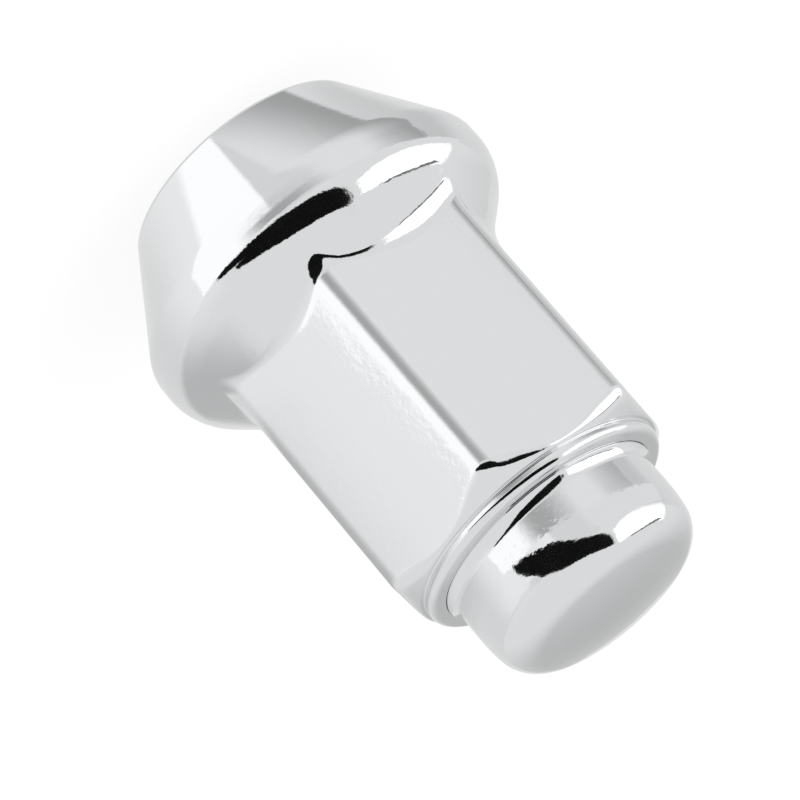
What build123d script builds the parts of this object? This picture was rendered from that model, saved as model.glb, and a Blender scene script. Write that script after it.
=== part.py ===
from build123d import *
import math
import os

# ----------------------------------------------------------------------
# Closed-end bulge lug nut, chromed steel, thread M12 x 1.5.
# Millimetres. The nut stands on its open end, the thread axis is Z and
# the domed end is up. A corner of the hexagon points along +X.
# ----------------------------------------------------------------------

# Thread
thread_major = 12.0
thread_pitch = 1.5

# Hexagon
across_flats = 19.0
corner_radius = 1.5
chamfer_angle = 30.0
chamfer_inset = 0.15

# Conical seat and bulged rim
seat_angle = 60.0
seat_mouth_diameter = 17.74
mouth_edge_break = 0.15
rim_diameter = 26.26
rim_height = 2.72
rim_front_round = 2.15
rim_back_round = 2.9
shoulder_angle = 45.0
shoulder_fillet = 0.8

# Closed end of the body: end face and rolled lip
end_face_height = 30.9
lip_step = 0.12
lip_width = 1.11
lip_wall = 0.375
lip_slope = 27.0
lip_round = 0.6
lip_edge_thickness = 0.36

# Pressed cap
cap_wall = 1.2
overall_length = 39.2
knuckle_radius = 2.85
crown_radius = 24.0
foot_bead_width = 0.37
foot_bead_rise = 0.33
foot_fillet = 0.95
brim_width = 0.6
inner_bevel = 1.5
mouth_flare = 0.6

# Clearances and entry
lip_gap = 0.08
brim_gap = 0.04
entry_angle = 90.0
entry_width = 0.7
cutter_overrun = 1.0

# ----------------------------------------------------------------------
# Sizes that follow from the ones above
# ----------------------------------------------------------------------

# ISO metric internal thread: minor diameter is major less 1.0825 pitch
bore_radius = (thread_major - 1.0825 * thread_pitch) / 2
entry_radius = thread_major / 2 + entry_width
entry_depth = (entry_radius - bore_radius) / math.tan(math.radians(entry_angle / 2))

# Seat, rim and shoulder, as theoretical sharp corners
mouth_radius = seat_mouth_diameter / 2
rim_radius = rim_diameter / 2
rim_front_z = (rim_radius - mouth_radius) / math.tan(math.radians(seat_angle / 2))
rim_back_z = rim_front_z + rim_height
shoulder_slope = math.tan(math.radians(shoulder_angle))

# The end face of the body lies just inside the flats
face_radius = across_flats / 2 - chamfer_inset
corner_reach = across_flats / 2 / math.cos(math.radians(30))
corner_crest = corner_reach - corner_radius * (1 / math.cos(math.radians(30)) - 1)
shoulder_land = (rim_radius - corner_crest) / math.cos(math.radians(shoulder_angle))

# Lip, cap and brim fit into one another from the outside inwards
lip_radius = face_radius - lip_step
lip_mouth_radius = lip_radius - lip_width
bead_radius = lip_mouth_radius - lip_gap
cap_radius = bead_radius - foot_bead_width
cap_bore_radius = cap_radius - cap_wall
brim_radius = bead_radius + brim_width
recess_radius = brim_radius + brim_gap

lip_crest_z = end_face_height + lip_wall
lip_top_z = lip_crest_z + lip_width * math.tan(math.radians(lip_slope))
brim_top_z = lip_top_z - lip_edge_thickness
recess_floor_z = brim_top_z - cap_wall
bead_edge_z = lip_top_z + foot_bead_rise
foot_fillet_z = bead_edge_z + math.sqrt(
    foot_fillet**2 - (foot_fillet - foot_bead_width) ** 2
)

# The crown meets the wall of the cap at this height and this slope
crown_edge_z = (
    overall_length - crown_radius + math.sqrt(crown_radius**2 - cap_radius**2)
)
crown_edge_slope = math.degrees(math.asin(cap_radius / crown_radius))


def turned(points, rounds=None):
    """Solid turned about Z from (radius, height) corners.

    `rounds` gives the corners that are broken and the radius of each.
    """
    with BuildPart() as solid:
        with BuildSketch(Plane.XZ) as section:
            with BuildLine():
                Polyline(*points, close=True)
            make_face()
            for (r, z), radius in (rounds or {}).items():
                corner = section.vertices().sort_by_distance((r, z, 0))[0]
                fillet(corner, radius)
        revolve(axis=Axis.Z)
    return solid.part


def radius_in(length, turn):
    """Largest round that a side of `length` has room for at a corner
    where the outline turns by `turn` degrees."""
    return length / math.tan(math.radians(turn) / 2)


def shoulder_rounds():
    """Rim round and hexagon fillet, which share the land between them."""
    room = 0.95 * radius_in(shoulder_land, 90 - shoulder_angle)
    share = min(1, room / (rim_back_round + shoulder_fillet))
    return share * rim_back_round, share * shoulder_fillet


def seat_and_rim():
    """Cone seat, bulged rim and the sloped shoulder behind it."""
    seat_slope = math.tan(math.radians(seat_angle / 2))
    front = (rim_radius, rim_front_z)
    back = (rim_radius, rim_back_z)
    shoulder_top = rim_back_z + (rim_radius - bore_radius) * shoulder_slope
    points = [
        (0, 0),
        (mouth_radius - mouth_edge_break, 0),
        (mouth_radius + mouth_edge_break * seat_slope, mouth_edge_break),
        front,
        back,
        (bore_radius, shoulder_top),
        (0, shoulder_top),
    ]
    back_round, _ = shoulder_rounds()
    return turned(points, {front: rim_front_round, back: back_round})


def hexagon():
    """Hexagon bar with rounded corners and the turned end chamfer."""
    with BuildPart() as bar:
        with BuildSketch(Plane.XY.offset(rim_front_z)) as outline:
            RegularPolygon(across_flats / 2, 6, major_radius=False)
            fillet(outline.vertices(), corner_radius)
        extrude(amount=end_face_height - rim_front_z)
    reach = corner_reach + cutter_overrun
    drop = (reach - face_radius) * math.tan(math.radians(chamfer_angle))
    envelope = turned(
        [
            (0, rim_front_z - cutter_overrun),
            (reach, rim_front_z - cutter_overrun),
            (reach, end_face_height - drop),
            (face_radius, end_face_height),
            (0, end_face_height),
        ]
    )
    return bar.part & envelope


def rolled_lip():
    """Collar at the closed end whose top is rolled in over the cap."""
    crest = (lip_radius, lip_crest_z)
    points = [
        (0, recess_floor_z),
        (lip_radius, recess_floor_z),
        crest,
        (lip_mouth_radius, lip_top_z),
        (0, lip_top_z),
    ]
    room = radius_in(lip_wall, 90 - lip_slope)
    return turned(points, {crest: min(lip_round, room)})


def passage():
    """Everything bored out of the body: entry, thread hole and recess."""
    hole = [
        (0, -cutter_overrun),
        (entry_radius + cutter_overrun, -cutter_overrun),
        (entry_radius, 0),
        (bore_radius, entry_depth),
        (bore_radius, recess_floor_z),
        (recess_radius, recess_floor_z),
        (recess_radius, brim_top_z),
        (lip_mouth_radius, brim_top_z),
        (lip_mouth_radius, lip_top_z + cutter_overrun),
        (0, lip_top_z + cutter_overrun),
    ]
    return turned(hole)


def shoulder_line(solid):
    """Curved edges where the flats and corners run into the shoulder."""
    shoulder_top = rim_back_z + (rim_radius - across_flats / 2) * shoulder_slope
    edges = solid.edges().filter_by_position(Axis.Z, rim_back_z, shoulder_top + 0.5)
    return [
        edge
        for edge in edges
        if edge.geom_type not in (GeomType.LINE, GeomType.CIRCLE)
        and face_radius < math.hypot(*tuple(edge @ 0.5)[:2]) < corner_reach
    ]


def nut_body():
    """Forged and tapped body, open end down."""
    body = hexagon() + seat_and_rim()
    _, foot_round = shoulder_rounds()
    body = body.fillet(foot_round, shoulder_line(body))
    return body + rolled_lip() - passage()


def cap_outside():
    """Outer form of the cap: brim, foot bead, round wall and dome."""
    room = radius_in(crown_edge_z - foot_fillet_z, 90 - crown_edge_slope)
    with BuildPart() as outside:
        with BuildSketch(Plane.XZ) as section:
            with BuildLine():
                Polyline(
                    (0, overall_length),
                    (0, recess_floor_z),
                    (brim_radius, recess_floor_z),
                    (brim_radius, brim_top_z),
                    (bead_radius, brim_top_z),
                    (bead_radius, bead_edge_z),
                )
                TangentArc(
                    (cap_radius, foot_fillet_z),
                    (bead_radius, bead_edge_z),
                    tangent=(0, -1),
                )
                Line((cap_radius, foot_fillet_z), (cap_radius, crown_edge_z))
                RadiusArc((cap_radius, crown_edge_z), (0, overall_length), -crown_radius)
            make_face()
            knuckle = section.vertices().sort_by_distance((cap_radius, crown_edge_z, 0))[0]
            fillet(knuckle, min(knuckle_radius, 0.9 * room))
        revolve(axis=Axis.Z)
    return outside.part


def end_cap():
    """Pressed cup, hollow inside and flared where it leaves the brim."""
    inner_top = overall_length - cap_wall
    hollow = turned(
        [
            (0, recess_floor_z - cutter_overrun),
            (cap_bore_radius + mouth_flare, recess_floor_z - cutter_overrun),
            (cap_bore_radius + mouth_flare, recess_floor_z),
            (cap_bore_radius, recess_floor_z + mouth_flare),
            (cap_bore_radius, inner_top - inner_bevel),
            (cap_bore_radius - inner_bevel, inner_top),
            (0, inner_top),
        ]
    )
    return cap_outside() - hollow


os.makedirs("parts", exist_ok=True)
export_step(nut_body(), "parts/nut_body.step")
export_step(end_cap(), "parts/end_cap.step")
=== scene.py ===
import logging
import math
from dataclasses import astuple, dataclass, field
from enum import Enum
from typing import Any, Iterable, Sequence

import bmesh
import bpy
from mathutils import Matrix, Vector


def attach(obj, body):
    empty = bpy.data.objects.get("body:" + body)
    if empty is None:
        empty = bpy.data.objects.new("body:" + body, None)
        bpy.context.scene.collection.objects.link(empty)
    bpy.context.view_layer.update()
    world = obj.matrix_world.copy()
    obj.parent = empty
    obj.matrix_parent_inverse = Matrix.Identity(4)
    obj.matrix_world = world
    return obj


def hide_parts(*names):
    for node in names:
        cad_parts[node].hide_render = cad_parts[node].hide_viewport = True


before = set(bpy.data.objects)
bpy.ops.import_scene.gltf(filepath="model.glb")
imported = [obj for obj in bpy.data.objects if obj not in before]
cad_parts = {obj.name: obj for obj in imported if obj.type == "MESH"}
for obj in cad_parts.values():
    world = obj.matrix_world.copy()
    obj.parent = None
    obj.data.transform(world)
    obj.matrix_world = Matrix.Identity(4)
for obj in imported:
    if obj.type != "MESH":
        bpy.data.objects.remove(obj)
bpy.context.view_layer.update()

LOG = logging.getLogger("lug_nut")
MM = 0.001
TURN = 2 * math.pi
CARD_LAYER = 0.02  # millimetres from one card on the table to the next

Pair = tuple[float, float]
Triple = tuple[float, float, float]


# ----------------------------------------------------------------------
# Colour and node helpers
# ----------------------------------------------------------------------


def linear(hex_code: str) -> tuple[float, float, float, float]:
    """Turns an sRGB hex colour into linear light.

    Args:
        hex_code: Six hex digits, with or without a leading hash.

    Returns:
        Red, green, blue and an alpha of one.
    """
    digits = hex_code.lstrip("#")
    levels = [int(digits[i : i + 2], 16) / 255 for i in (0, 2, 4)]
    light = [v / 12.92 if v <= 0.04045 else ((v + 0.055) / 1.055) ** 2.4 for v in levels]
    return light[0], light[1], light[2], 1.0


def add_node(
    tree: bpy.types.NodeTree,
    kind: str,
    inputs: dict[int | str, Any] | None = None,
    **settings: Any,
) -> bpy.types.Node:
    """Adds one node with its settings, constants and links.

    Args:
        tree: The node tree that gets the node.
        kind: The node's type name.
        inputs: For an input's name or index, a constant or a socket to link.
        **settings: Properties of the node itself.

    Returns:
        The new node.
    """
    node = tree.nodes.new(kind)
    for name, value in settings.items():
        setattr(node, name, value)
    for key, value in (inputs or {}).items():
        if isinstance(value, bpy.types.NodeSocket):
            tree.links.new(value, node.inputs[key])
        else:
            node.inputs[key].default_value = value
    return node


def blank_material(name: str) -> bpy.types.Material:
    """Makes a node material with an empty tree.

    Args:
        name: The material's name.

    Returns:
        The material, with no nodes in it.
    """
    material = bpy.data.materials.new(name)
    material.use_nodes = True
    material.node_tree.nodes.clear()
    return material


def smooth(low: float, high: float, value: float) -> float:
    """Eases from nought to one as a value rises.

    Args:
        low: Where the result leaves nought.
        high: Where the result reaches one.
        value: The value.

    Returns:
        The eased share.
    """
    share = min(max((value - low) / (high - low), 0.0), 1.0)
    return share * share * (3 - 2 * share)


# ----------------------------------------------------------------------
# Finishes
# ----------------------------------------------------------------------


@dataclass(frozen=True)
class ChromePlate:
    """Bright decorative chromium over nickel on a forged and tumbled blank.

    The tumbled steel under the plate leaves a slow ripple and a fine pebble.
    """

    # To the eye this is a neutral mirror: it has hardly a colour of its own,
    # takes its greys from the studio and frays the edges of what it mirrors.
    # The ripple and pebble are wider than the polish lines of real plate,
    # which are too fine to show.

    name: str
    tint: str = "e6e7e8"
    polish: Pair = (0.03, 0.075)
    haze_span: Pair = (0.35, 0.7)
    haze_mm: float = 2.4
    ripple_mm: float = 2.0
    ripple_height_mm: float = 0.012
    pebble_mm: float = 0.42
    pebble_height_mm: float = 0.006

    def material(self) -> bpy.types.Material:
        """Builds the plated metal.

        Returns:
            The material.
        """
        made = blank_material(self.name)
        tree = made.node_tree
        place = add_node(tree, "ShaderNodeTexCoord").outputs["Object"]
        lumps: list[bpy.types.NodeSocket] = []
        for size, detail in ((self.haze_mm, 3.0), (self.ripple_mm, 1.0), (self.pebble_mm, 2.0)):
            noise = {"Vector": place, "Scale": 1 / (size * MM), "Detail": detail}
            lumps.append(add_node(tree, "ShaderNodeTexNoise", noise).outputs["Fac"])
        haze_lumps, ripple_lumps, pebble_lumps = lumps
        haze = add_node(
            tree,
            "ShaderNodeMapRange",
            dict(enumerate((haze_lumps, *self.haze_span, *self.polish))),
        )
        ripple = add_node(
            tree,
            "ShaderNodeBump",
            {
                "Height": ripple_lumps,
                "Distance": self.ripple_height_mm * MM,
                "Strength": 1.0,
            },
        )
        pebble = add_node(
            tree,
            "ShaderNodeBump",
            {
                "Height": pebble_lumps,
                "Distance": self.pebble_height_mm * MM,
                "Strength": 1.0,
                "Normal": ripple.outputs["Normal"],
            },
        )
        metal = add_node(
            tree,
            "ShaderNodeBsdfPrincipled",
            {
                "Base Color": linear(self.tint),
                "Metallic": 1.0,
                "Roughness": haze.outputs["Result"],
                "Normal": pebble.outputs["Normal"],
            },
        )
        add_node(tree, "ShaderNodeOutputMaterial", {"Surface": metal.outputs["BSDF"]})
        return made


@dataclass(frozen=True)
class TappedSteel:
    """Carbon steel as a tap leaves it, where plating hardly reaches."""

    # To the eye it is darker than the plate and satin, with fine cutting lines
    # that run round the hole.

    name: str
    tint: str = "8f9194"
    roughness: Pair = (0.28, 0.42)
    mottle_span: Pair = (0.3, 0.7)
    mottle_mm: float = 0.8
    line_mm: float = 0.09
    line_length_mm: float = 16.67
    line_height_mm: float = 0.002

    def material(self) -> bpy.types.Material:
        """Builds the bare cut steel.

        Returns:
            The material.
        """
        made = blank_material(self.name)
        tree = made.node_tree
        place = add_node(tree, "ShaderNodeTexCoord").outputs["Object"]
        mottle = add_node(
            tree,
            "ShaderNodeTexNoise",
            {"Vector": place, "Scale": 1 / (self.mottle_mm * MM), "Detail": 3.0},
        )
        satin = add_node(
            tree,
            "ShaderNodeMapRange",
            dict(enumerate((mottle.outputs["Fac"], *self.mottle_span, *self.roughness))),
        )
        along, across = 1 / (self.line_length_mm * MM), 1 / (self.line_mm * MM)
        squeezed = add_node(
            tree, "ShaderNodeMapping", {"Vector": place, "Scale": (along, along, across)}
        )
        lines = add_node(
            tree,
            "ShaderNodeTexNoise",
            {"Vector": squeezed.outputs["Vector"], "Scale": 1.0, "Detail": 1.0},
        )
        scored = add_node(
            tree,
            "ShaderNodeBump",
            {"Height": lines.outputs["Fac"], "Distance": self.line_height_mm * MM, "Strength": 1.0},
        )
        metal = add_node(
            tree,
            "ShaderNodeBsdfPrincipled",
            {
                "Base Color": linear(self.tint),
                "Metallic": 1.0,
                "Roughness": satin.outputs["Result"],
                "Normal": scored.outputs["Normal"],
            },
        )
        add_node(tree, "ShaderNodeOutputMaterial", {"Surface": metal.outputs["BSDF"]})
        return made


# ----------------------------------------------------------------------
# Turned sections
# ----------------------------------------------------------------------


@dataclass(frozen=True)
class Corner:
    """One corner of a turned section, in millimetres.

    Attributes:
        radius: Distance from the axis.
        height: Height above the open end.
        round: Radius of the round that breaks the corner.
        arc_steps: Facets along that round.
        run_steps: Facets along the straight run that leads to the corner.
    """

    radius: float
    height: float
    round: float = 0.0
    arc_steps: int = 0
    run_steps: int = 1


def spread(steps: int, edge: float = 0.03) -> list[float]:
    """Shares along a run, with a short facet at both ends.

    The short facets keep the shading of a round from leaking into the
    flat or cone beside it.

    Args:
        steps: Facets along the run.
        edge: Share taken by the first and last facet.

    Returns:
        Rising shares, of which the last is one.
    """
    if steps < 3:
        return [(i + 1) / steps for i in range(steps)]
    inner = steps - 2
    return [edge + (1 - 2 * edge) * i / inner for i in range(inner + 1)] + [1.0]


def rounded_section(corners: Sequence[Corner]) -> list[Pair]:
    """Follows a chain of corners and replaces each by its tangent round.

    Args:
        corners: The chain, whose first and last corners stay sharp.

    Returns:
        Radius and height of each point, in millimetres.
    """
    points = [(corners[0].radius, corners[0].height)]
    last = Vector(points[0])
    for i, corner in enumerate(corners[1:], start=1):
        here = Vector((corner.radius, corner.height))
        start = end = here
        arc: list[Vector] = []
        if corner.round > 0 and i < len(corners) - 1:
            before = Vector((corners[i - 1].radius, corners[i - 1].height)) - here
            after = Vector((corners[i + 1].radius, corners[i + 1].height)) - here
            before.normalize()
            after.normalize()
            half = before.angle(after) / 2
            reach = corner.round / math.tan(half)
            start, end = here + before * reach, here + after * reach
            middle = here + (before + after).normalized() * (corner.round / math.sin(half))
            spoke = start - middle
            sweep = math.pi - 2 * half
            if before.x * after.y - before.y * after.x > 0:
                sweep = -sweep
            for step in range(1, corner.arc_steps + 1):
                angle = sweep * step / corner.arc_steps
                arc.append(middle + Matrix.Rotation(angle, 2) @ spoke)
        for share in spread(corner.run_steps):
            points.append(tuple(last.lerp(start, share)))
        points.extend(tuple(p) for p in arc)
        last = end
    return points


def swept_mesh(
    name: str,
    rings: Sequence[Sequence[Triple]],
    first_pole: Triple | None = None,
    last_pole: Triple | None = None,
) -> bpy.types.Mesh:
    """Skins columns of points that run round the axis.

    Args:
        name: The mesh's name.
        rings: For each column round the axis, its points in millimetres.
        first_pole: Point that closes the first ends of all columns.
        last_pole: Point that closes the last ends of all columns.

    Returns:
        The mesh, in metres.
    """
    rows, columns = len(rings[0]), len(rings)
    points = [p for column in rings for p in column]
    faces: list[tuple[int, ...]] = []
    for c in range(columns):
        here, there = c * rows, (c + 1) % columns * rows
        for r in range(rows - 1):
            faces.append((here + r, there + r, there + r + 1, here + r + 1))
    for pole, row in ((first_pole, 0), (last_pole, rows - 1)):
        if pole is None:
            continue
        points.append(pole)
        for c in range(columns):
            here, there = c * rows + row, (c + 1) % columns * rows + row
            faces.append((here, there, len(points) - 1))
    mesh = bpy.data.meshes.new(name)
    mesh.from_pydata([tuple(v * MM for v in p) for p in points], [], faces)
    return mesh


def finished_piece(
    name: str,
    skins: Iterable[tuple[bpy.types.Mesh, int]],
    materials: Sequence[bpy.types.Material],
    crease_deg: float = 32.0,
    weld_mm: float = 0.003,
) -> bpy.types.Object:
    """Welds skins into one closed piece with outward faces and true creases.

    Args:
        name: The piece's name.
        skins: Meshes with the material slot that each one takes.
        materials: The piece's materials.
        crease_deg: Edges that turn by more than this stay crisp.
        weld_mm: Points nearer than this become one.

    Returns:
        The object, at the origin and unturned.
    """
    work = bmesh.new()
    for skin, slot in skins:
        first = len(work.faces)
        work.from_mesh(skin)
        work.faces.ensure_lookup_table()
        for face in work.faces[first:]:
            face.material_index = slot
        bpy.data.meshes.remove(skin)
    bmesh.ops.remove_doubles(work, verts=work.verts, dist=weld_mm * MM)
    bmesh.ops.recalc_face_normals(work, faces=work.faces)
    for face in work.faces:
        face.smooth = True
    limit = math.radians(crease_deg)
    for edge in work.edges:
        edge.smooth = edge.calc_face_angle(0.0) < limit
    loose = sum(1 for edge in work.edges if not edge.is_manifold)
    triangles = sum(len(face.verts) - 2 for face in work.faces)
    mesh = bpy.data.meshes.new(name)
    work.to_mesh(mesh)
    work.free()
    for material in materials:
        mesh.materials.append(material)
    piece = bpy.data.objects.new(name, mesh)
    bpy.context.scene.collection.objects.link(piece)
    LOG.info("%s: %d triangles, %d open edges", name, triangles, loose)
    return piece


# ----------------------------------------------------------------------
# Thread
# ----------------------------------------------------------------------


@dataclass
class TappedThread:
    """Internal metric thread that winds up the bore, in millimetres."""

    bore_radius: float
    pitch: float
    low: float
    high: float
    columns: int
    rows_per_turn: int = 8
    run_out: float = 0.55

    @property
    def depth(self) -> float:
        """Depth of the groove, five eighths of the sharp height."""
        return 0.625 * math.sqrt(3) / 2 * self.pitch

    @property
    def turns(self) -> int:
        """Whole turns of strip that cover the bore with one to spare."""
        return math.ceil((self.high - self.low) / self.pitch) + 1

    def tree(self) -> bpy.types.NodeTree:
        """Builds the node tree that winds one pitch of profile up the bore.

        Returns:
            The geometry node tree, with named inputs for its sizes.
        """
        tree = bpy.data.node_groups.new("tapped_thread", "GeometryNodeTree")
        sizes = ("Bore", "Pitch", "Depth", "Low", "High", "Run Out")
        for name in sizes:
            tree.interface.new_socket(name, in_out="INPUT", socket_type="NodeSocketFloat")
        for name in ("Columns", "Turns", "Rows"):
            tree.interface.new_socket(name, in_out="INPUT", socket_type="NodeSocketInt")
        tree.interface.new_socket("Material", in_out="INPUT", socket_type="NodeSocketMaterial")
        tree.interface.new_socket("Geometry", in_out="OUTPUT", socket_type="NodeSocketGeometry")
        given = add_node(tree, "NodeGroupInput").outputs
        strip_position = add_node(tree, "GeometryNodeInputPosition").outputs[0]
        spot = add_node(tree, "ShaderNodeSeparateXYZ", {0: strip_position}).outputs
        value = {socket.name: socket for socket in given}
        value.update(x=spot["X"], y=spot["Y"])
        steps: tuple[tuple[str, str, tuple[str | float, ...]], ...] = (
            ("cells", "MULTIPLY", ("Columns", "Turns")),
            ("along", "ADD", ("cells", 1.0)),
            ("across", "ADD", ("Rows", 1.0)),
            ("run", "ADD", ("x", 0.5)),
            ("wound", "MULTIPLY", ("run", "Turns")),
            ("share", "ADD", ("y", 0.5)),
            ("angle", "MULTIPLY", ("wound", TURN)),
            # The strip starts one pitch below the hole and is pressed flat at both ends
            ("pitches", "ADD", ("wound", "share")),
            ("climbed", "SUBTRACT", ("pitches", 1.0)),
            ("rise", "MULTIPLY", ("climbed", "Pitch")),
            ("free", "ADD", ("rise", "Low")),
            ("lifted", "MAXIMUM", ("free", "Low")),
            ("height", "MINIMUM", ("lifted", "High")),
            # Crest a quarter pitch wide, flanks at 60 degrees, root an eighth
            ("beside", "SUBTRACT", ("share", 0.625)),
            ("off", "ABSOLUTE", ("beside",)),
            ("inner", "SUBTRACT", (0.375, "off")),
            ("flank", "DIVIDE", ("inner", 0.3125)),
            ("floored", "MAXIMUM", ("flank", 0.0)),
            ("groove", "MINIMUM", ("floored", 1.0)),
            # The groove fades in above the countersink and out below the ledge
            ("full from", "ADD", ("Low", "Run Out")),
            ("full to", "SUBTRACT", ("High", "Run Out")),
            ("rising", "SMOOTHSTEP", ("free", "Low", "full from", 0.0, 1.0)),
            ("falling", "SMOOTHSTEP", ("free", "full to", "High", 1.0, 0.0)),
            ("opened", "MULTIPLY", ("groove", "rising")),
            ("closed", "MULTIPLY", ("falling", "Depth")),
            ("cut", "MULTIPLY", ("opened", "closed")),
            ("radius", "ADD", ("Bore", "cut")),
            ("cosine", "COSINE", ("angle",)),
            ("sine", "SINE", ("angle",)),
            ("place x", "MULTIPLY", ("radius", "cosine")),
            ("place y", "MULTIPLY", ("radius", "sine")),
        )
        for name, operation, terms in steps:
            inputs = {i: value.get(term, term) for i, term in enumerate(terms)}
            if operation == "SMOOTHSTEP":
                kind, settings = "ShaderNodeMapRange", {"interpolation_type": operation}
            else:
                kind, settings = "ShaderNodeMath", {"operation": operation}
            value[name] = add_node(tree, kind, inputs, **settings).outputs[0]
        strip = add_node(
            tree,
            "GeometryNodeMeshGrid",
            {
                "Size X": 1.0,
                "Size Y": 1.0,
                "Vertices X": value["along"],
                "Vertices Y": value["across"],
            },
        )
        place = add_node(
            tree,
            "ShaderNodeCombineXYZ",
            {0: value["place x"], 1: value["place y"], 2: value["height"]},
        )
        wound_up = add_node(
            tree,
            "GeometryNodeSetPosition",
            {"Geometry": strip.outputs["Mesh"], "Position": place.outputs[0]},
        )
        welded = add_node(
            tree,
            "GeometryNodeMergeByDistance",
            {"Geometry": wound_up.outputs["Geometry"], "Distance": 0.002 * MM},
        )
        real = add_node(
            tree, "GeometryNodeRealizeInstances", {"Geometry": welded.outputs["Geometry"]}
        )
        dressed = add_node(
            tree,
            "GeometryNodeSetMaterial",
            {"Geometry": real.outputs["Geometry"], "Material": given["Material"]},
        )
        add_node(tree, "NodeGroupOutput", {"Geometry": dressed.outputs["Geometry"]})
        return tree

    def mesh(self, material: bpy.types.Material) -> bpy.types.Mesh:
        """Winds the thread and turns the result into a plain mesh.

        Args:
            material: Finish of the cut steel.

        Returns:
            The tube of thread, open at both ends, in metres.
        """
        tree = self.tree()
        holder = bpy.data.objects.new("thread_work", bpy.data.meshes.new("thread_work"))
        bpy.context.scene.collection.objects.link(holder)
        winding = holder.modifiers.new("thread", "NODES")
        winding.node_group = tree
        values = {
            "Bore": self.bore_radius * MM,
            "Pitch": self.pitch * MM,
            "Depth": self.depth * MM,
            "Low": self.low * MM,
            "High": self.high * MM,
            "Run Out": self.run_out * MM,
            "Columns": self.columns,
            "Turns": self.turns,
            "Rows": self.rows_per_turn,
            "Material": material,
        }
        for item in tree.interface.items_tree:
            if item.in_out == "INPUT":
                winding[item.identifier] = values[item.name]
        holder.update_tag()
        bpy.context.view_layer.update()
        seen = holder.evaluated_get(bpy.context.evaluated_depsgraph_get())
        wound = bpy.data.meshes.new_from_object(seen)
        blank = holder.data
        holder.modifiers.remove(winding)
        bpy.data.objects.remove(holder)
        bpy.data.meshes.remove(blank)
        wound.materials.clear()
        return wound


# ----------------------------------------------------------------------
# Body of the nut
# ----------------------------------------------------------------------


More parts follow.
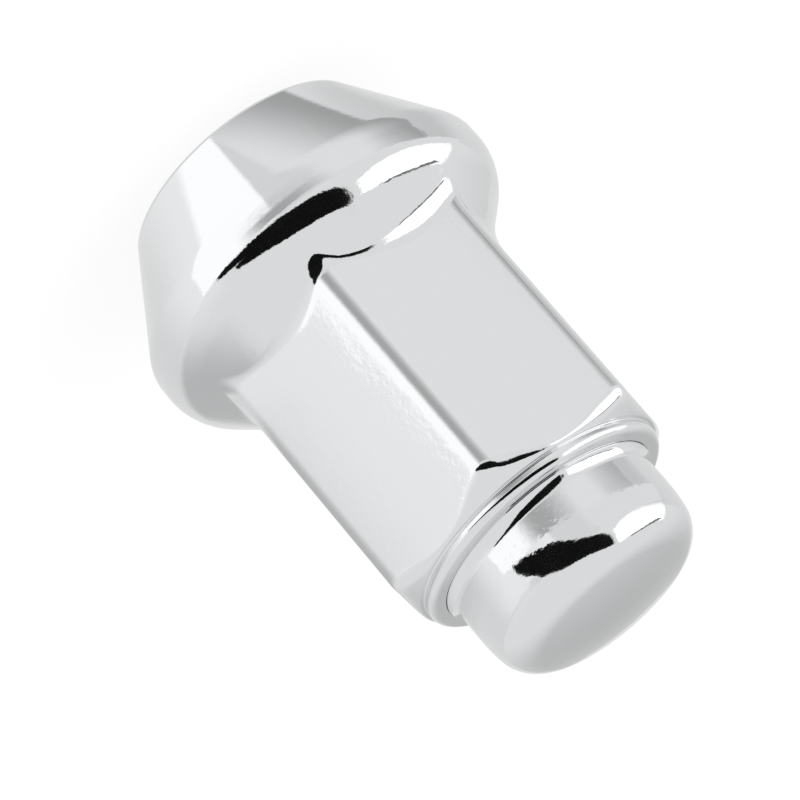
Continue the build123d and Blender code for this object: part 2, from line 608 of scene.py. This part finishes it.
@dataclass
class NutBody:
    """Forged and tapped body, in the same millimetres as the solid.

    The lip, the chamfer's edge and the fillet at the foot of the hexagon are
    a little fuller than in the solid, as forging and crimping leave them.

    Attributes:
        countersink_points: Points of the section, counted from the bore, that
            stand in the bore's even columns and not in the hexagon's.
    """

    thread_major: float = 12.0
    thread_pitch: float = 1.5
    across_flats: float = 19.0
    corner_radius: float = 1.5
    chamfer_angle: float = 30.0
    chamfer_inset: float = 0.15
    chamfer_round: float = 1.3
    seat_angle: float = 60.0
    seat_mouth_diameter: float = 17.74
    mouth_round: float = 0.2
    rim_diameter: float = 26.26
    rim_height: float = 2.72
    rim_front_round: float = 2.15
    rim_back_round: float = 3.6
    shoulder_angle: float = 45.0
    crisp_fillet: float = 0.9
    full_fillet: float = 2.8
    end_face_height: float = 31.0
    lip_step: float = 0.12
    lip_undercut: float = 0.14
    lip_gap: float = 0.03
    lip_crest: float = 31.9
    lip_top: float = 31.95
    lip_round: float = 0.5
    lip_edge_round: float = 0.03
    bead_radius: float = 8.04
    brim_top: float = 31.48
    ledge_fillet: float = 0.1
    recess_radius: float = 8.68
    cap_wall: float = 1.2
    entry_width: float = 0.7
    entry_round: float = 0.12
    flat_steps: int = 16
    corner_steps: int = 24
    countersink_points: int = 9

    @property
    def bore_radius(self) -> float:
        """Minor radius of the internal thread."""
        return (self.thread_major - 1.0825 * self.thread_pitch) / 2

    @property
    def entry_radius(self) -> float:
        """Radius where the countersink of the bore meets the end face."""
        return self.thread_major / 2 + self.entry_width

    @property
    def face_radius(self) -> float:
        """Radius of the flat end face at the closed end."""
        return self.across_flats / 2 - self.chamfer_inset

    @property
    def recess_floor(self) -> float:
        """Height of the ledge that the cap's brim sits on."""
        return self.brim_top - self.cap_wall

    @property
    def columns(self) -> int:
        """Columns of points round the axis."""
        return 6 * (self.flat_steps + self.corner_steps)

    def azimuths(self) -> list[Pair]:
        """Angles of the columns.

        Returns:
            For each column its even angle, used at the bore, and the angle
            that crowds the hexagon's corners, used outside.
        """
        half_flat = self.across_flats / 2
        inner = half_flat - self.corner_radius
        pivot = inner / math.cos(math.pi / 6)
        end = math.atan2(inner * math.tan(math.pi / 6), half_flat)
        outer: list[float] = []
        for k in range(6):
            for step in range(self.corner_steps):
                lean = -math.pi / 6 + math.pi / 3 * step / self.corner_steps
                x = pivot + self.corner_radius * math.cos(lean)
                y = self.corner_radius * math.sin(lean)
                outer.append(k * math.pi / 3 + math.atan2(y, x))
            for share in [0.0, *spread(self.flat_steps)[:-1]]:
                across = math.tan(end) * (2 * share - 1)
                outer.append(k * math.pi / 3 + math.pi / 6 + math.atan(across))
        count = self.columns
        return [
            (TURN * (i - self.corner_steps // 2) / count, angle)
            for i, angle in enumerate(outer)
        ]

    def flat_radius(self, azimuth: float) -> float:
        """Radius of the rounded hexagon in one direction.

        Args:
            azimuth: Angle from a corner of the hexagon.

        Returns:
            The radius in millimetres.
        """
        half_flat = self.across_flats / 2
        inner = half_flat - self.corner_radius
        lean = azimuth % (math.pi / 3) - math.pi / 6
        if abs(lean) <= math.atan2(inner * math.tan(math.pi / 6), half_flat):
            return half_flat / math.cos(lean)
        off = (azimuth + math.pi / 6) % (math.pi / 3) - math.pi / 6
        pivot = inner / math.cos(math.pi / 6)
        return pivot * math.cos(off) + math.sqrt(
            self.corner_radius**2 - (pivot * math.sin(off)) ** 2
        )

    def shoulder_fillet(self, azimuth: float) -> float:
        """Fillet at the foot of the hexagon, which the forging leaves uneven.

        It runs full out of one side of every corner and thins towards the
        next one.

        Args:
            azimuth: Angle from a corner of the hexagon.

        Returns:
            The fillet's radius in millimetres.
        """
        share = azimuth % (math.pi / 3) / (math.pi / 3)
        thinning = smooth(0.25, 0.75, share) - smooth(0.84, 0.99, share)
        return self.full_fillet + (self.crisp_fillet - self.full_fillet) * thinning

    def section(self, wall: float, fillet: float) -> list[Pair]:
        """Section from the countersink round to the cap's ledge.

        Args:
            wall: Radius of the hexagon in this section.
            fillet: Radius of the fillet at the foot of the hexagon.

        Returns:
            Radius and height of each point.
        """
        mouth = self.seat_mouth_diameter / 2
        rim = self.rim_diameter / 2
        front = (rim - mouth) / math.tan(math.radians(self.seat_angle / 2))
        back = front + self.rim_height
        shoulder = back + (rim - wall) * math.tan(math.radians(self.shoulder_angle))
        slope = math.radians(self.chamfer_angle)
        band = (wall - self.face_radius) / math.cos(slope)
        edge = self.end_face_height - band * math.sin(slope)
        # The round may take nine tenths of a chamfer that narrows towards the flats
        edge_round = min(self.chamfer_round, 0.9 * band / math.tan((math.pi / 2 - slope) / 2))
        lip = self.face_radius - self.lip_step
        inside = self.bead_radius + self.lip_gap
        brim = self.brim_top
        entry_depth = self.entry_radius - self.bore_radius
        corners = [
            Corner(self.bore_radius, entry_depth),
            Corner(self.entry_radius, 0, self.entry_round, 4, 3),
            Corner(mouth, 0, self.mouth_round, 6, 5),
            Corner(rim, front, self.rim_front_round, 16, 10),
            Corner(rim, back, self.rim_back_round, 22, 4),
            Corner(wall, shoulder, fillet, 18, 10),
            Corner(wall, edge, edge_round, 8, 22),
            Corner(self.face_radius, self.end_face_height, 0, 0, 5),
            Corner(lip - self.lip_undercut, self.end_face_height, self.ledge_fillet, 5, 2),
            Corner(lip, self.lip_crest, self.lip_round, 14, 3),
            Corner(inside, self.lip_top, self.lip_edge_round, 5, 6),
            Corner(inside, brim, 0, 0, 2),
            Corner(self.recess_radius, brim, 0, 0, 2),
            Corner(self.recess_radius, self.recess_floor, 0, 0, 3),
        ]
        return rounded_section(corners)

    def shell(self) -> bpy.types.Mesh:
        """Skins the outside, from the countersink to the ledge and the bore.

        Returns:
            The open shell, whose two inner rings meet the thread.
        """
        rings: list[list[Triple]] = []
        for even, azimuth in self.azimuths():
            section = self.section(self.flat_radius(azimuth), self.shoulder_fillet(azimuth))
            column: list[Triple] = []
            for i, (radius, height) in enumerate(section):
                angle = even if i < self.countersink_points else azimuth
                column.append((radius * math.cos(angle), radius * math.sin(angle), height))
            bore = self.bore_radius
            column.append((bore * math.cos(even), bore * math.sin(even), self.recess_floor))
            rings.append(column)
        return swept_mesh("shell", rings)

    def build(self, plate: ChromePlate, steel: TappedSteel) -> bpy.types.Object:
        """Makes the body and gives it its finishes.

        Args:
            plate: Finish of the outside.
            steel: Finish of the thread.

        Returns:
            The finished piece.
        """
        plated, cut = plate.material(), steel.material()
        thread = TappedThread(
            bore_radius=self.bore_radius,
            pitch=self.thread_pitch,
            low=self.entry_radius - self.bore_radius,
            high=self.recess_floor,
            columns=self.columns,
        )
        skins = [(self.shell(), 0), (thread.mesh(cut), 1)]
        return finished_piece("forged_nut_body", skins, [plated, cut])


# ----------------------------------------------------------------------
# Cap
# ----------------------------------------------------------------------


@dataclass
class EndCap:
    """Pressed cup that closes the bore, held by the rolled lip."""

    cap_radius: float = 7.67
    cap_wall: float = 1.2
    overall_length: float = 39.2
    lead_radius: float = 14.0
    lead_angle: float = 8.0
    knuckle_radius: float = 2.5
    crown_radius: float = 24.0
    foot_bead_width: float = 0.37
    foot_bead_rise: float = 0.09
    foot_fillet: float = 1.15
    brim_width: float = 0.6
    mouth_flare: float = 0.6
    lip_top: float = 31.95
    brim_top: float = 31.48
    ledge: float = 30.28
    columns: int = 240
    lead_steps: int = 8
    knuckle_steps: int = 28
    crown_steps: int = 22
    fillet_steps: int = 18

    def dome(self, inwards: float) -> list[Pair]:
        """Lead, knuckle and crown above the round wall, tangent to one another.

        Args:
            inwards: How far the curve lies inside the cap's outer face.

        Returns:
            Points from the wall to just short of the axis.
        """
        lead = math.radians(self.lead_angle)
        spread_radius = self.lead_radius - self.knuckle_radius
        middle = self.cap_radius - self.lead_radius + spread_radius * math.cos(lead)
        crown_base = self.overall_length - self.crown_radius
        arm = self.crown_radius - self.knuckle_radius
        level = crown_base + math.sqrt(arm**2 - middle**2)
        lean = math.atan2(level - crown_base, middle)
        arcs = [
            (
                self.cap_radius - self.lead_radius,
                level - spread_radius * math.sin(lead),
                self.lead_radius,
                (0.0, lead, self.lead_steps),
            ),
            (middle, level, self.knuckle_radius, (lead, lean, self.knuckle_steps)),
            (0.0, crown_base, self.crown_radius, (lean, math.pi / 2, self.crown_steps)),
        ]
        points = []
        for x, z, radius, (start, end, steps) in arcs:
            for i in range(steps):
                angle = start + (end - start) * i / steps
                reach = radius - inwards
                points.append((x + reach * math.cos(angle), z + reach * math.sin(angle)))
        return points

    def outside(self) -> list[Pair]:
        """Section of the outside, from the brim to the crown.

        Returns:
            Radius and height of each point.
        """
        bead = self.cap_radius + self.foot_bead_width
        bead_edge = self.lip_top + self.foot_bead_rise
        centre = self.cap_radius + self.foot_fillet
        drop = math.sqrt(self.foot_fillet**2 - (centre - bead) ** 2)
        points = [
            (bead + self.brim_width, self.ledge),
            (bead + self.brim_width, self.brim_top),
            (bead, self.brim_top),
        ]
        points += [
            (bead, self.brim_top + (bead_edge - self.brim_top) * s) for s in spread(4)
        ]
        first = math.atan2(-drop, bead - centre) + TURN
        for i in range(1, self.fillet_steps + 1):
            angle = first + (math.pi - first) * i / self.fillet_steps
            points.append(
                (
                    centre + self.foot_fillet * math.cos(angle),
                    bead_edge + drop + self.foot_fillet * math.sin(angle),
                )
            )
        dome = self.dome(0.0)
        foot = points[-1][1]
        points += [
            (self.cap_radius, foot + (dome[0][1] - foot) * s) for s in spread(8)[:-1]
        ]
        return points + dome

    def inside(self) -> list[Pair]:
        """Section of the hollow, from the ledge to the crown.

        Returns:
            Radius and height of each point.
        """
        bore = self.cap_radius - self.cap_wall
        flare = [(bore + self.mouth_flare, self.ledge), (bore, self.ledge + self.mouth_flare)]
        return flare + self.dome(self.cap_wall)

    def build(self, plate: ChromePlate) -> bpy.types.Object:
        """Makes the cap and gives it its finish.

        Args:
            plate: Finish of the cap.

        Returns:
            The finished piece.
        """
        outline = list(reversed(self.inside())) + self.outside()
        rings: list[list[Triple]] = []
        for c in range(self.columns):
            angle = TURN * c / self.columns
            cos, sin = math.cos(angle), math.sin(angle)
            rings.append([(r * cos, r * sin, z) for r, z in outline])
        skin = swept_mesh(
            "cap_skin",
            rings,
            first_pole=(0.0, 0.0, self.overall_length - self.cap_wall),
            last_pole=(0.0, 0.0, self.overall_length),
        )
        return finished_piece("pressed_end_cap", [(skin, 0)], [plate.material()])


# ----------------------------------------------------------------------
# Studio
# ----------------------------------------------------------------------


class Light(Enum):
    """How bright the surfaces of the studio are, where one is white."""

    SOFTBOX = 1.45
    WHITE_SHEET = 1.22
    PAPER = 0.99
    GLOW = 0.90
    TENT = 0.87
    TENT_SHADE = 0.56
    TABLE = 0.80
    FLANK_SHADE = 0.60
    NUT_SHADE = 0.42
    GAP = 0.46
    SEAM = 0.20
    ROOM = 0.006


@dataclass(frozen=True)
class CardFinish:
    """Card, cloth, painted shade or painted light that only mirrors see, with edges that fade."""

    name: str
    level: float

    def material(self) -> bpy.types.Material:
        """Builds the card's plain glow.

        Returns:
            The material, clear where the mesh's cover attribute is zero.
        """
        made = blank_material(self.name)
        tree = made.node_tree
        cover = add_node(tree, "ShaderNodeAttribute", attribute_name="cover")
        glow = add_node(tree, "ShaderNodeEmission", {"Strength": self.level})
        clear = add_node(tree, "ShaderNodeBsdfTransparent")
        blend = add_node(
            tree,
            "ShaderNodeMixShader",
            {0: cover.outputs["Fac"], 1: clear.outputs[0], 2: glow.outputs[0]},
        )
        add_node(tree, "ShaderNodeOutputMaterial", {"Surface": blend.outputs[0]})
        return made


@dataclass(frozen=True)
class Patch:
    """Span along one direction, with the share of it that fades at each end."""

    start: float
    end: float
    fade_in: float = 0.0
    fade_out: float = 0.0

    def toward(self, other: "Patch", share: float) -> "Patch":
        """Goes a share of the way from this span to another."""
        ends = zip(astuple(self), astuple(other))
        return Patch(*(here + (there - here) * share for here, there in ends))

    def cover(self, value: float) -> float:
        """Tells how far the card covers what is behind it.

        Args:
            value: A place in the span.

        Returns:
            The cover, from nought outside the span to one in its middle.
        """
        rise = smooth(0.0, self.fade_in, value - self.start) if self.fade_in else 1.0
        fall = smooth(0.0, self.fade_out, self.end - value) if self.fade_out else 1.0
        return min(rise, fall)


@dataclass(frozen=True)
class TableCard:
    """Sector of paper, cloth, painted shade or painted light that lies on the table round the nut.

    Its sides are straight and may miss the axis, so the sector is given
    by the directions that it fills at its near end and far away.
    """

    name: str
    level: Light
    near: Patch
    far: Patch
    reach: Patch
    layer: int
    strength: float = 1.0

    def sweep(self, radius: float) -> Patch:
        """Directions that the card fills at a distance from the axis."""
        return self.far.toward(self.near, self.reach.start / radius)

    def mesh(self) -> bpy.types.Mesh:
        """Lays the sector flat, a hair above the table.

        Returns:
            The card's mesh, with its cover attribute.
        """
        steps, rings = 72, 32
        height = CARD_LAYER * (1 + self.layer)
        points, covers = [], []
        for j in range(rings + 1):
            share = (j / rings) ** 2
            radius = self.reach.start + (self.reach.end - self.reach.start) * share
            sweep = self.sweep(radius)
            for i in range(steps + 1):
                azimuth = sweep.start + (sweep.end - sweep.start) * i / steps
                angle = math.radians(azimuth)
                points.append((radius * math.cos(angle), radius * math.sin(angle), height))
                covers.append(self.strength * sweep.cover(azimuth) * self.reach.cover(radius))
        return card_mesh(self.name, points, covers, steps)


@dataclass(frozen=True)
class Station:
    """Directions that an upright card fills at one elevation, in degrees."""

    elevation: float
    sweep: Patch


@dataclass(frozen=True)
class UprightCard:
    """Card, painted shade or painted glow that stands round the nut, given by the directions it
    fills.
    """

    name: str
    level: Light
    distance: float
    stations: tuple[Station, ...]
    fade_top: float = 2.0
    fade_bottom: float = 0.0
    eye_height: float = 25.0
    lean: float = 0.0
    strength: float = 1.0

    def sweep(self, elevation: float) -> Patch:
        """Finds the directions that the card fills at one height.

        Args:
            elevation: The height, as an angle in degrees.

        Returns:
            The span, taken between the stations below and above.
        """
        for low, high in zip(self.stations, self.stations[1:]):
            if elevation <= high.elevation:
                break
        share = (elevation - low.elevation) / (high.elevation - low.elevation)
        return low.sweep.toward(high.sweep, share)

    def mesh(self) -> bpy.types.Mesh:
        """Bends the card round the nut at its distance.

        Returns:
            The card's mesh, with its cover attribute.
        """
        across, up = 60, 60
        bottom, top = self.stations[0].elevation, self.stations[-1].elevation
        height = Patch(bottom, top, self.fade_bottom, self.fade_top)
        points, covers = [], []
        for j in range(up + 1):
            elevation = bottom + (top - bottom) * j / up
            sweep = self.sweep(elevation)
            slope = math.tan(math.radians(elevation))
            distance = (self.distance + self.lean * self.eye_height) / (1 - self.lean * slope)
            level = self.eye_height + distance * slope
            for i in range(across + 1):
                azimuth = sweep.start + (sweep.end - sweep.start) * i / across
                angle = math.radians(azimuth)
                covers.append(self.strength * sweep.cover(azimuth) * height.cover(elevation))
                points.append((distance * math.cos(angle), distance * math.sin(angle), level))
        return card_mesh(self.name, points, covers, across)


def card_mesh(
    name: str,
    points: Sequence[Triple],
    covers: Sequence[float],
    across: int,
) -> bpy.types.Mesh:
    """Makes a card's mesh and stores how well each point covers.

    Args:
        name: The mesh's name.
        points: Points in millimetres, row by row.
        covers: Cover of each point, from nought to one.
        across: Faces along a row.

    Returns:
        The mesh, in metres.
    """
    row = across + 1
    starts = range(0, len(points) - row, row)
    faces = [
        (a, a + 1, a + row + 1, a + row)
        for start in starts
        for a in range(start, start + across)
    ]
    mesh = bpy.data.meshes.new(name)
    mesh.from_pydata([tuple(v * MM for v in p) for p in points], [], faces)
    cover = mesh.attributes.new("cover", "FLOAT", "POINT")
    cover.data.foreach_set("value", covers)
    return mesh


@dataclass
class Studio:
    """Plain pale table in a light tent, with the room dark behind the lens."""

    table_size: float = 1.3
    table_drop: float = 0.01
    table_paint: str = "6f6f6f"
    table_glow: float = 0.861
    lamp_power: float = 1.1
    lamp_size: float = 0.5
    lamp_place: Triple = (0.1, -0.25, 0.6)
    lamp_aim: Triple = (0.0, 0.0, 0.02)
    dim_side: Triple = (-0.94, 0.08, 0.34)
    dim_width: float = 1.05
    cards: list[TableCard | UprightCard] = field(default_factory=list)

    def table(self) -> bpy.types.Object:
        """Makes the table, which reads white and keeps a soft shadow.

        Returns:
            The table.
        """
        made = blank_material("matt_white_table")
        tree = made.node_tree
        path = add_node(tree, "ShaderNodeLightPath").outputs
        # The camera sees a dim paint over a glow, which reads white and darkens
        # a little in the shadow. The plate mirrors an even tone instead.
        paint = add_node(tree, "ShaderNodeBsdfDiffuse", {"Color": linear(self.table_paint)})
        glow = add_node(tree, "ShaderNodeEmission", {"Strength": self.table_glow})
        seen = add_node(tree, "ShaderNodeAddShader", {0: paint.outputs[0], 1: glow.outputs[0]})
        mirrored = add_node(tree, "ShaderNodeEmission", {"Strength": Light.TABLE.value})
        white = add_node(tree, "ShaderNodeBsdfDiffuse", {"Color": linear("e8e8e8")})
        other = add_node(
            tree,
            "ShaderNodeMixShader",
            {0: path["Is Glossy Ray"], 1: white.outputs[0], 2: mirrored.outputs[0]},
        )
        whole = add_node(
            tree,
            "ShaderNodeMixShader",
            {0: path["Is Camera Ray"], 1: other.outputs[0], 2: seen.outputs[0]},
        )
        add_node(tree, "ShaderNodeOutputMaterial", {"Surface": whole.outputs[0]})
        half, drop = self.table_size, -self.table_drop * MM
        mesh = bpy.data.meshes.new("table")
        signs = ((-1, -1), (1, -1), (1, 1), (-1, 1))
        mesh.from_pydata([(x * half, y * half, drop) for x, y in signs], [], [(0, 1, 2, 3)])
        mesh.materials.append(made)
        table = bpy.data.objects.new("table", mesh)
        bpy.context.scene.collection.objects.link(table)
        return table

    def hang(self, card: TableCard | UprightCard) -> bpy.types.Object:
        """Puts up one card, which mirrors see and the camera doesn't.

        Args:
            card: The card.

        Returns:
            Its object.
        """
        mesh = card.mesh()
        mesh.materials.append(CardFinish(card.name, card.level.value).material())
        piece = bpy.data.objects.new(card.name, mesh)
        bpy.context.scene.collection.objects.link(piece)
        piece.visible_camera = False
        piece.visible_diffuse = False
        piece.visible_shadow = False
        piece.visible_transmission = False
        return piece

    def tent(self) -> None:
        """Lights the world as a tent, white behind the object."""
        world = bpy.data.worlds.new("light_tent")
        bpy.context.scene.world = world
        world.use_nodes = True
        tree = world.node_tree
        tree.nodes.clear()
        way = add_node(tree, "ShaderNodeTexCoord").outputs["Generated"]
        dim = tuple(Vector(self.dim_side).normalized())
        toward = add_node(
            tree, "ShaderNodeVectorMath", {0: way, 1: dim}, operation="DOT_PRODUCT"
        )
        away = add_node(tree, "ShaderNodeMath", {0: toward.outputs["Value"]}, operation="ARCCOSINE")
        fall = add_node(
            tree,
            "ShaderNodeMapRange",
            {
                0: away.outputs[0],
                1: 0.0,
                2: self.dim_width,
                3: Light.TENT_SHADE.value,
                4: Light.TENT.value,
            },
            interpolation_type="SMOOTHSTEP",
        ).outputs[0]
        path = add_node(tree, "ShaderNodeLightPath").outputs
        level = add_node(
            tree, "ShaderNodeMix", {0: path["Is Camera Ray"], 2: fall, 3: 1.0}, data_type="FLOAT"
        ).outputs[0]
        white = linear("ffffff")
        sky = add_node(tree, "ShaderNodeBackground", {"Color": white, "Strength": level})
        add_node(tree, "ShaderNodeOutputWorld", {"Surface": sky.outputs[0]})

    def lamp(self) -> None:
        """Hangs the overhead softbox that draws the shadow on the table."""
        data = bpy.data.lights.new("overhead_softbox", "AREA")
        data.shape = "RECTANGLE"
        data.size = data.size_y = self.lamp_size
        data.energy = self.lamp_power
        lamp = bpy.data.objects.new("overhead_softbox", data)
        lamp.location = self.lamp_place
        aim = Vector(self.lamp_aim) - lamp.location
        lamp.rotation_euler = aim.to_track_quat("-Z", "Y").to_euler()
        lamp.visible_glossy = False
        lamp.visible_camera = False
        bpy.context.scene.collection.objects.link(lamp)

    def build(self) -> None:
        """Sets up table, cards, lamp and tent."""
        staged = [self.table(), *(self.hang(card) for card in self.cards)]
        self.lamp()
        self.tent()
        LOG.info("studio: %d cards", len(self.cards))


def studio_cards() -> list[TableCard | UprightCard]:
    """Lists what stands and lies round the nut.

    Returns:
        The cards, lowest layer first.
    """
    return [
        # Painted shade on the table round the nut's shadow, which only the plate mirrors
        TableCard(
            "flank_shade",
            Light.FLANK_SHADE,
            near=Patch(-88, -30, 36, 60),
            far=Patch(-130, -52, 16, 50),
            reach=Patch(9, 400, 0, 100),
            layer=0,
            strength=0.7,
        ),
        # Painted pool of light on the table, which only the plate mirrors
        TableCard(
            "table_light_pool",
            Light.GLOW,
            near=Patch(-60, 0, 30, 0),
            far=Patch(-74, -30, 14, 16),
            reach=Patch(9, 400, 0, 100),
            layer=1,
        ),
        TableCard(
            "nut_shade",
            Light.NUT_SHADE,
            near=Patch(-42, 12, 4, 48),
            far=Patch(-104, -75, 3, 34),
            reach=Patch(9, 150, 0, 80),
            layer=2,
        ),
        TableCard(
            "sheet_glow",
            Light.PAPER,
            near=Patch(-2, 70, 2, 50),
            far=Patch(-2, 102, 2, 44),
            reach=Patch(9, 400, 0, 100),
            layer=3,
        ),
        TableCard(
            "white_sheet",
            Light.WHITE_SHEET,
            near=Patch(-2, 21, 2, 7),
            far=Patch(-2, 61.3, 2, 1.8),
            reach=Patch(9, 116, 0, 1),
            layer=4,
        ),
        TableCard(
            "sheet_crease",
            Light.GAP,
            near=Patch(-4, -1, 1, 1),
            far=Patch(-3.6, -1.4, 0.8, 0.8),
            reach=Patch(55, 116, 6, 1),
            layer=5,
        ),
        TableCard(
            "lens_gap",
            Light.GAP,
            near=Patch(-30, 22, 24, 18),
            far=Patch(-42, 27, 34, 27),
            reach=Patch(28, 116, 12, 1),
            layer=6,
        ),
        UprightCard(
            "dark_room",
            Light.ROOM,
            116,
            (
                Station(-12.1, Patch(36, 46, 6, 2)),
                Station(-10, Patch(24, 46, 6, 2)),
                Station(-8, Patch(9, 46, 6, 2)),
                Station(-6.5, Patch(-1, 45, 5, 2)),
                Station(-3.3, Patch(-9, 39, 5, 3)),
                Station(0, Patch(-18, 33, 4, 3)),
                Station(3.1, Patch(-27, 29, 4, 3)),
                Station(11.6, Patch(-36, 22, 4, 4)),
                Station(20.7, Patch(-42, 15, 4, 3)),
                Station(27, Patch(-44.5, 9, 4, 3)),
                Station(35, Patch(-46.5, -7, 4, 3)),
                Station(45, Patch(-49, -28, 3, 3)),
                Station(50, Patch(-50, -44, 2, 2)),
            ),
            fade_top=2.0,
            lean=0.25,
        ),
        UprightCard(
            "lens_hood",
            Light.ROOM,
            60,
            (
                Station(-6.4, Patch(27, 33, 3, 2)),
                Station(-5, Patch(23, 33, 4, 2)),
                Station(-4, Patch(18, 33, 4, 2)),
                Station(-2.8, Patch(9, 33, 4, 2)),
                Station(-1.8, Patch(0, 32, 4, 2)),
                Station(1.8, Patch(-9, 31, 4, 2)),
                Station(5.4, Patch(-18, 28, 4, 2)),
                Station(8, Patch(-27, 25, 4, 2)),
                Station(15.5, Patch(-38, 18, 4, 2)),
                Station(27.9, Patch(-45, 7.5, 4, 2)),
                Station(38, Patch(-49, -9, 4, 2)),
                Station(46, Patch(-51, -29, 3, 2)),
                Station(51, Patch(-53, -44, 2, 2)),
            ),
            fade_top=1.0,
            lean=0.13,
        ),
        UprightCard(
            "table_edge",
            Light.TENT,
            130,
            (
                Station(-10.9, Patch(-125, -38, 3, 3)),
                Station(-4, Patch(-120, -38, 3, 3)),
                Station(0, Patch(-80, -38, 3, 3)),
                Station(8.7, Patch(-61, -40, 3, 3)),
                Station(19, Patch(-52, -42, 2, 2)),
            ),
            fade_top=1.5,
        ),
        UprightCard(
            "softbox",
            Light.SOFTBOX,
            200,
            (
                Station(-6.6, Patch(-118, -44, 4, 4)),
                Station(8, Patch(-118, -46, 4, 4)),
                Station(27, Patch(-118, -50, 4, 3)),
                Station(31, Patch(-107, -51, 3, 3)),
                Station(36, Patch(-98, -53, 3, 2)),
                Station(41, Patch(-89, -56, 3, 2)),
                Station(45, Patch(-82, -58, 3, 2)),
                Station(49, Patch(-74, -60, 3, 2)),
                Station(52, Patch(-67, -63, 2, 2)),
            ),
            fade_top=1.0,
            fade_bottom=14.0,
            lean=0.4,
        ),
        UprightCard(
            "horizon_glow",
            Light.PAPER,
            150,
            (
                Station(-9.4, Patch(36, 98, 14, 48)),
                Station(22, Patch(36, 98, 14, 48)),
            ),
            fade_top=31.4,
            strength=0.55,
        ),
        UprightCard(
            "shoulder_shade",
            Light.TENT_SHADE,
            22,
            (
                Station(-17.6, Patch(48, 150, 46, 30)),
                Station(32.5, Patch(48, 150, 46, 30)),
            ),
            fade_top=12.5,
            fade_bottom=8.0,
            eye_height=16.0,
        ),
        UprightCard(
            "softbox_frame",
            Light.SEAM,
            195,
            (
                Station(24, Patch(-115, -108, 1, 1)),
                Station(30, Patch(-108, -101, 1, 1)),
                Station(35, Patch(-102, -94, 1, 1)),
                Station(40, Patch(-94, -86, 1, 1)),
                Station(44, Patch(-87, -79, 1, 1)),
                Station(47.5, Patch(-81, -74, 1, 1)),
            ),
            fade_top=1.0,
            fade_bottom=1.0,
            lean=0.4,
        ),
    ]


@dataclass
class Camera:
    """Long lens that looks down at the nut from its closed end.

    The camera is turned about its own axis, so the closed end points to
    the lower right of the frame.
    """

    azimuth: float = -2.53
    elevation: float = 21.4
    roll: float = 139.675
    distance: float = 274.0
    aim: Triple = (0.37, 1.782, 18.857)
    lens: float = 193.2

    def build(self) -> bpy.types.Object:
        """Places the camera and makes it the scene's own.

        Returns:
            The camera.
        """
        data = bpy.data.cameras.new("camera")
        data.lens = self.lens
        data.sensor_width = 36.0
        data.clip_start, data.clip_end = 0.01, 20.0
        camera = bpy.data.objects.new("camera", data)
        azimuth, elevation = math.radians(self.azimuth), math.radians(self.elevation)
        back = Vector(
            (
                math.cos(azimuth) * math.cos(elevation),
                math.sin(azimuth) * math.cos(elevation),
                math.sin(elevation),
            )
        )
        camera.location = (Vector(self.aim) + back * self.distance) * MM
        level = back.to_track_quat("Z", "Y").to_matrix()
        turned = level @ Matrix.Rotation(math.radians(self.roll), 3, "Z")
        camera.rotation_euler = turned.to_euler()
        bpy.context.scene.collection.objects.link(camera)
        bpy.context.scene.camera = camera
        return camera


def main() -> None:
    """Builds the nut, dresses it and sets up the studio round it."""
    logging.basicConfig(level=logging.INFO, format="%(name)s %(message)s")
    bpy.context.scene.view_settings.view_transform = "Standard"

    body = NutBody().build(ChromePlate("chromed_steel_body"), TappedSteel("tapped_steel_thread"))
    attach(body, "root")
    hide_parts("nut_body")

    cap = EndCap().build(ChromePlate("chromed_steel_cap"))
    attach(cap, "root")
    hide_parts("end_cap")

    Studio(cards=studio_cards()).build()
    Camera().build()


if __name__ == "__main__":
    main()
